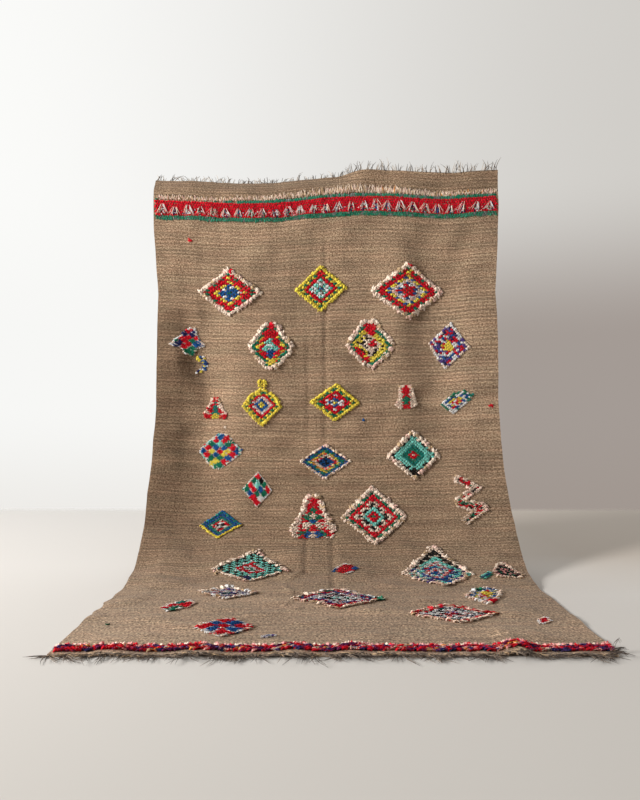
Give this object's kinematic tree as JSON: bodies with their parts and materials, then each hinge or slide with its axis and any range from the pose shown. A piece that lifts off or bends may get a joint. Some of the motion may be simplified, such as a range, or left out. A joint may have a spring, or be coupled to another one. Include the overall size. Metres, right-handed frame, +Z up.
{
  "type": "flat-woven wool rug with raised pile motifs",
  "caption": "Large flat-woven brown wool rug with raised pile lozenges and bands in bright yarns, held up by its top edge and running out over the floor in a long bend.",
  "frame": {"origin": "middle of the bounding box of the draped rug, at floor level", "axes": "+Z up, +X to the right as seen from the side that the rug runs out to, -Y from the hanging part towards the front edge on the floor"},
  "size_m": [1.7091, 1.6702, 1.98],
  "materials": {
    "brown_weave": "heathered flat weave of undyed brown wool, matt",
    "dark_warp": "loose dark wool warp ends, matt",
    "cream_yarn": "knotted wool pile in short locks, matt",
    "yellow_yarn": "knotted wool pile in short locks, matt",
    "red_yarn": "knotted wool pile in short locks, matt",
    "green_yarn": "knotted wool pile in short locks, matt",
    "teal_yarn": "knotted wool pile in short locks, matt",
    "blue_yarn": "knotted wool pile in short locks, matt",
    "purple_yarn": "knotted wool pile in short locks, matt"
  },
  "bodies": {
    "root": {"woven_ground": "brown_weave", "top_fringe": "dark_warp", "front_fringe": "dark_warp", "pile_lozenge_01": "cream_yarn", "pile_lozenge_02": "yellow_yarn", "pile_lozenge_03": "cream_yarn", "pile_leaf_04": "red_yarn", "pile_hook_05": "blue_yarn", "pile_pear_06": "cream_yarn", "pile_pear_07": "cream_yarn", "pile_lozenge_08": "purple_yarn", "pile_cone_09": "red_yarn", "pile_spiked_10": "yellow_yarn", "pile_lozenge_11": "yellow_yarn", "pile_bell_12": "cream_yarn", "pile_leaning_13": "teal_yarn", "pile_blunt_14": "red_yarn", "pile_lozenge_15": "green_yarn", "pile_lozenge_16": "teal_yarn", "pile_lozenge_17": "red_yarn", "pile_zigzag_18": "cream_yarn", "pile_lozenge_19": "blue_yarn", "pile_cone_20": "cream_yarn", "pile_lozenge_21": "cream_yarn", "pile_kite_22": "cream_yarn", "pile_blunt_23": "red_yarn", "pile_kite_24": "cream_yarn", "pile_bar_25": "green_yarn", "pile_bar_26": "cream_yarn", "pile_leaning_27": "blue_yarn", "pile_lozenge_28": "purple_yarn", "pile_lozenge_29": "cream_yarn", "pile_bar_30": "red_yarn", "pile_blunt_31": "red_yarn", "pile_lozenge_32": "purple_yarn", "pile_bar_33": "cream_yarn", "pile_bar_34": "cream_yarn", "cream_pile_strip": "cream_yarn", "green_pile_line": "green_yarn", "red_pile_band": "red_yarn", "green_pile_border": "green_yarn", "front_pile_band": "red_yarn"}
  },
  "joints": []
}
